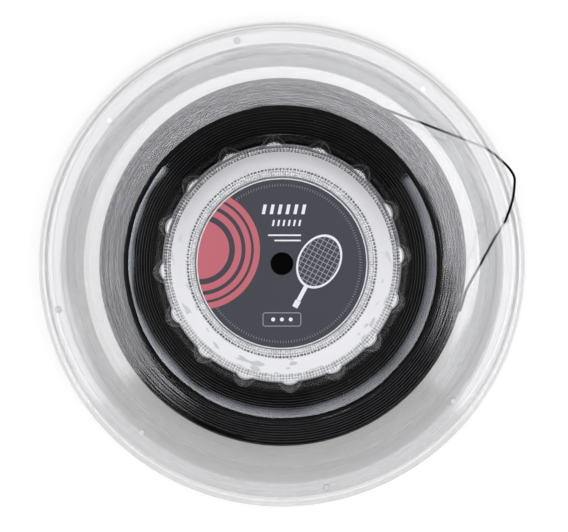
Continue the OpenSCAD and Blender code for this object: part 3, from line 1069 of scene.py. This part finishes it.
# Floor, light and world, in metres and degrees
studio = {
    "floorSize": 6.0, "floorColour": (0.885, 0.88, 0.868, 1), "floorGlow": 0.28,
    # The painted shade below the spindle hole: the dark disc's radius and sides
    "standRadius": 11 * mm, "standSides": 48,
    # The overhead light: its height over the rim, its middle, and the hole that the camera sees through
    "cardHeight": 0.95, "cardCentre": (0, -0.054), "cardHole": 0.047,
    # The camera and its arm hide the overhead light: wholly between two directions, and then up to
    # the line through two points
    "darkFrom": 218, "darkTo": 318, "armTo": 359, "cameraArm": ((0.073, 0.001), (0.137, -0.123)),
    # Its rings: inner and outer radius with the strength at each, the share that the light gains in
    # one direction, that direction, its colour, and the directions that the ring covers
    "rings": [
        (0.0, 3.7, 0.15, 3.55, 0.24, 45, (0.99, 0.985, 1.03), 0, 360),
        (0.15, 3.6, 0.30, 3.5, 0.05, 45, (0.99, 0.985, 1.03), 0, 360),
        (0.30, 4.4, 0.47, 0.3, 0.4, -15, (0.93, 0.97, 1.07), 0, 360),
        (0.47, 0.06, 1.0, 0.06, 0.0, 0, (1, 1, 1), 102, 228),
        (0.47, 0.06, 1.0, 0.06, 0.0, 0, (1, 1, 1), 307, 416),
    ],
    "ringStep": 3,
    "softbox": (270, 72, 1.6, 1.4, 0.5, 1.0),     # direction, from overhead, distance, size, radiance
    "fill": (2.4, 3.0, 0.75),                     # height, size and strength of the light that only fills
    "horizon": (0.45, 0.48), "zenith": (0.015, 0.66),      # grey, and where the world's ramp has it
}


def makeFloor(room):
    half = room["floorSize"] / 2
    low = -0.05 * mm
    corners = [(-half, -half, low), (half, -half, low), (half, half, low), (-half, half, low)]
    floor = addPiece("floor", corners, [(0, 1, 2, 3)], smooth=False)
    g = newMaterial("pale_floor")
    diffuse = g.node("ShaderNodeBsdfDiffuse", {}, {"Color": room["floorColour"]})
    seen = g.node("ShaderNodeLightPath", {}, {}, "Is Camera Ray")
    for ray in ("Is Glossy Ray", "Is Transmission Ray"):
        seen = seen.math("MAXIMUM", g.node("ShaderNodeLightPath", {}, {}, ray))
    glow = shine(g, (1, 1, 1), seen * room["floorGlow"])
    dress(floor, g.surface(g.node("ShaderNodeAddShader", {}, {0: diffuse, 1: glow})))


def makeShadeDisc(room):
    # Painted shade: a dark disc on the floor below the spindle hole, in place of the shade down the bore
    sides = room["standSides"]
    ring = [2 * math.pi * k / sides for k in range(sides)]
    points = [(room["standRadius"] * math.cos(a), room["standRadius"] * math.sin(a), z)
              for z in (0.2 * mm, -0.5 * mm) for a in ring]
    faces = [tuple(range(sides))]
    for k in range(sides):
        n = (k + 1) % sides
        faces.append((k, k + sides, n + sides, n))
    stand = addPiece("stand", points, faces, smooth=False)
    g = newMaterial("dark_stand")
    dress(stand, g.surface(g.node("ShaderNodeBsdfDiffuse", {}, {"Color": grey(0.01)})))


def shine(g, colour, strength):
    # An emission whose strength changes over the surface
    scaled = g.node("ShaderNodeVectorMath", {"operation": "SCALE"}, {0: colour, "Scale": strength})
    return g.node("ShaderNodeEmission", {}, {"Color": scaled})


def armReach(room, degrees):
    # How far from the axis the camera and its arm hide the overhead light, along one direction
    a = math.radians(degrees)
    degrees = degrees % 360
    if room["darkFrom"] <= degrees <= room["darkTo"]:
        return math.inf
    if degrees < room["darkTo"] or degrees >= room["armTo"]:
        return room["cardHole"]
    first, second = (np.array(p) for p in room["cameraArm"])
    along = second - first
    crossing = math.cos(a) * along[1] - math.sin(a) * along[0]
    return max(room["cardHole"], abs((first[0] * along[1] - first[1] * along[0]) / crossing))


def makeOverheadRing(room, name, near, strong, far, weak, lean, towards, colour, start, end):
    z = shellHigh.z + room["cardHeight"]
    cx, cy = room["cardCentre"]
    points, faces = [], []
    for degrees in range(start, end, room["ringStep"]):
        sides = (degrees, degrees + room["ringStep"])
        edges = [(math.radians(d), max(near, armReach(room, d))) for d in sides]
        if max(reach for a, reach in edges) >= far:
            continue
        base = len(points)
        for a, inner in edges:
            points += [(cx + reach * math.cos(a), cy + reach * math.sin(a), z) for reach in (inner, far)]
        faces.append((base, base + 2, base + 3, base + 1))
    card = addPiece(name, points, faces, smooth=False)
    g = newMaterial(name)
    at = g.node("ShaderNodeTexCoord", {}, {}, "Object")
    x, y = (g.node("ShaderNodeSeparateXYZ", {}, {0: at}, k) for k in range(2))
    x, y = x - cx, y - cy
    reach = (x ** 2 + y ** 2) ** 0.5
    strength = g.node("ShaderNodeMapRange", {}, {
        "Value": reach, "From Min": near, "From Max": far, "To Min": strong, "To Max": weak})
    along = x * math.cos(math.radians(towards)) + y * math.sin(math.radians(towards))
    strength = strength * (1 + lean * along / (reach + 0.001))
    dress(card, g.surface(shine(g, colour, strength)))
    card.visible_camera = False
    card.visible_shadow = False


def makeSoftbox(azimuth, zenith, distance, width, height, radiance):
    a, t = math.radians(azimuth), math.radians(zenith)
    data = bpy.data.lights.new("softbox", "AREA")
    data.shape = "RECTANGLE"
    data.size, data.size_y = width, height
    data.energy = math.pi * width * height * radiance
    lamp = bpy.data.objects.new("softbox", data)
    away = (math.sin(t) * math.cos(a), math.sin(t) * math.sin(a), math.cos(t))
    lamp.location = [distance * c for c in away]
    lamp.rotation_euler = (0, t, a)
    lamp.visible_camera = False
    bpy.context.collection.objects.link(lamp)


def makeFill(height, size, level):
    # A wide soft light that leaves no reflection. Level is what it adds on a white surface facing it
    data = bpy.data.lights.new("fill", "AREA")
    data.size = size
    data.energy = level * math.pi * math.pi * height ** 2
    lamp = bpy.data.objects.new("fill", data)
    lamp.location = (0, 0, height)
    lamp.visible_camera = False
    lamp.visible_glossy = False
    bpy.context.collection.objects.link(lamp)


def makeWorld(room):
    world = bpy.data.worlds.new("studio")
    g = Graph(world, "ShaderNodeOutputWorld")
    towards = g.node("ShaderNodeTexCoord", {}, {}, "Generated")
    height = g.node("ShaderNodeSeparateXYZ", {}, {0: towards}, 2)
    (low, lowEnd), (high, highFrom) = room["horizon"], room["zenith"]
    stops = [(0.0, grey(low)), (lowEnd, grey(low)), (highFrom, grey(high)), (1.0, grey(high))]
    sky = g.node("ShaderNodeValToRGB", {"stops": stops}, {0: height})
    g.surface(g.node("ShaderNodeBackground", {}, {"Color": sky}))
    bpy.context.scene.world = world


makeFloor(studio)
makeShadeDisc(studio)
for number, ring in enumerate(studio["rings"]):
    makeOverheadRing(studio, f"overhead_light_{number}", *ring)
makeSoftbox(*studio["softbox"])
makeFill(*studio["fill"])
makeWorld(studio)
bpy.context.scene.view_settings.view_transform = "Standard"
bpy.context.scene.cycles.transparent_max_bounces = 24
print("studio lit")
